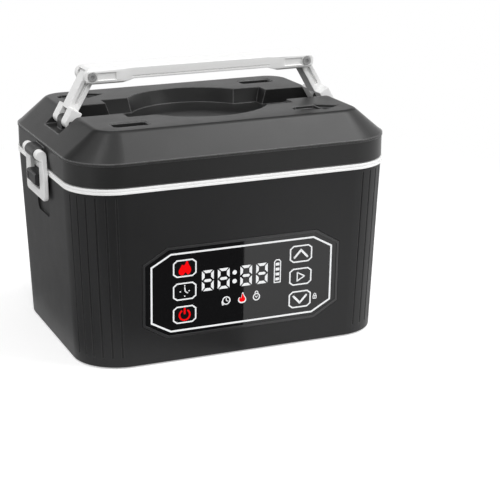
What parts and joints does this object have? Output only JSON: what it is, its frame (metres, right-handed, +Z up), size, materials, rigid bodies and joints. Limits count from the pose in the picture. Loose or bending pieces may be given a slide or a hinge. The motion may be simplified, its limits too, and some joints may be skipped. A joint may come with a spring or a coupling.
{
  "type": "electric lunch box",
  "caption": "Portable heated lunch box with lift-off lid, folding carry handle, end latches, touch panel and a lidded steel food container inside.",
  "frame": {"origin": "centre of the footprint on the table, at the underside of the feet", "axes": "+X along the long side, to the right when seen from the control panel; the control panel faces -Y; +Z up"},
  "size_m": [0.2684, 0.1892, 0.2073],
  "materials": {
    "body_black": "fine satin grain",
    "inner_black": "plain moulded",
    "foot_rubber": "matt",
    "screw_steel": "turned",
    "white_shell": "semi gloss",
    "white_gloss": "semi gloss",
    "well_metal": "drawn sheet",
    "heat_metal": "cast",
    "mica": "layered sheet",
    "ceramic": "glazed",
    "foam": "felted",
    "cell_wrap": "shrink film",
    "circuit_board": "lacquered",
    "board_component": "moulded",
    "panel_black": "high gloss",
    "bezel_black": "satin",
    "display_module": "moulded",
    "ribbon": "flat cable",
    "lead_red": "sleeved",
    "catch_black": "satin",
    "lid_black": "fine satin grain",
    "liner_white": "moulded",
    "gasket_grey": "silicone",
    "slider_grey": "moulded",
    "cap_grey": "semi gloss",
    "container_steel": "brushed",
    "clear_grey": "clear tinted",
    "seal_orange": "silicone",
    "scale_grey": "printed disc",
    "dial_orange": "semi gloss",
    "stem_dark": "moulded"
  },
  "bodies": {
    "base": {"body_shell": "body_black", "bottom_cover": "inner_black", "rubber_feet": "foot_rubber", "bottom_screws": "screw_steel", "trim_band": "white_shell", "inner_liner": "well_metal", "liner_insulation": "foam", "heating_plate": "heat_metal", "heating_element": "mica", "thermal_cutoff": "ceramic", "battery_cells": "cell_wrap", "battery_holder": "inner_black", "main_board": "circuit_board", "board_parts": "board_component", "charging_inlet": "inner_black", "panel_window": "panel_black", "panel_bezel": "bezel_black", "led_display": "display_module", "display_board": "circuit_board", "display_ribbon": "ribbon", "heater_leads": "lead_red", "latch_catch_left": "catch_black", "latch_catch_right": "catch_black"},
    "lid": {"lid_shell": "lid_black", "lid_liner": "liner_white", "lid_insulation": "foam", "lid_gasket": "gasket_grey", "lid_screws": "screw_steel", "leg_pins": "screw_steel", "latch_pins": "screw_steel"},
    "latch_left": {"latch_left": "white_gloss"},
    "latch_right": {"latch_right": "white_gloss"},
    "leg_left": {"leg_left": "white_gloss"},
    "leg_right": {"leg_right": "white_gloss"},
    "shoe_left": {"shoe_left": "slider_grey"},
    "shoe_right": {"shoe_right": "slider_grey"},
    "handle_grip": {"grip": "white_gloss", "grip_plate": "slider_grey", "grip_screws": "screw_steel", "grip_caps": "cap_grey"},
    "container": {"food_container": "container_steel"},
    "container_cover": {"container_lid": "clear_grey", "container_seal": "seal_orange", "dial_scale": "scale_grey"},
    "vent": {"vent_dial": "dial_orange", "vent_stem": "stem_dark"}
  },
  "joints": [
    {"name": "lid_lift", "type": "slide", "parent": "base", "child": "lid", "axis": [0, 0, 1], "range_m": [0, 0.04]},
    {"name": "latch_left_swing", "type": "hinge", "parent": "lid", "child": "latch_left", "pos_m": [-0.1296, 0, 0.147], "axis": [0, 1, 0], "range_deg": [0, 150]},
    {"name": "latch_right_swing", "type": "hinge", "parent": "lid", "child": "latch_right", "pos_m": [0.1296, 0, 0.147], "axis": [0, 1, 0], "range_deg": [-150, 0]},
    {"name": "leg_left_fold", "type": "hinge", "parent": "lid", "child": "leg_left", "pos_m": [-0.1055, 0, 0.1685], "axis": [0, 1, 0], "range_deg": [0, 60]},
    {"name": "leg_right_fold", "type": "hinge", "parent": "lid", "child": "leg_right", "pos_m": [0.1055, 0, 0.1685], "axis": [0, 1, 0], "range_deg": [-60, 0]},
    {"name": "shoe_left_turn", "type": "hinge", "parent": "leg_left", "child": "shoe_left", "pos_m": [-0.08675, 0, 0.20098], "axis": [0, 1, 0], "range_deg": [-60, 0]},
    {"name": "shoe_right_turn", "type": "hinge", "parent": "leg_right", "child": "shoe_right", "pos_m": [0.08675, 0, 0.20098], "axis": [0, 1, 0], "range_deg": [0, 60]},
    {"name": "grip_slide", "type": "slide", "parent": "shoe_left", "child": "handle_grip", "axis": [1, 0, 0], "range_m": [-0.01875, 0]},
    {"name": "container_lift", "type": "slide", "parent": "base", "child": "container", "axis": [0, 0, 1], "range_m": [0, 0.024]},
    {"name": "container_lid_lift", "type": "slide", "parent": "container", "child": "container_cover", "axis": [0, 0, 1], "range_m": [0, 0.012]},
    {"name": "vent_turn", "type": "hinge", "parent": "container_cover", "child": "vent", "pos_m": [0, 0, 0.13], "axis": [0, 0, 1], "range_deg": [0, 90]}
  ],
  "couplings": [
    {"joint": "latch_left_swing", "follows": "lid_lift", "rad_per_m": 65.449},
    {"joint": "latch_right_swing", "follows": "lid_lift", "rad_per_m": -65.449},
    {"joint": "leg_right_fold", "follows": "leg_left_fold", "ratio": -1},
    {"joint": "shoe_left_turn", "follows": "leg_left_fold", "ratio": -1},
    {"joint": "shoe_right_turn", "follows": "leg_left_fold", "ratio": 1},
    {"joint": "grip_slide", "follows": "leg_left_fold", "m_per_rad": -0.017904},
    {"joint": "container_lift", "follows": "lid_lift", "ratio": 0.6},
    {"joint": "container_lid_lift", "follows": "lid_lift", "ratio": 0.3}
  ]
}
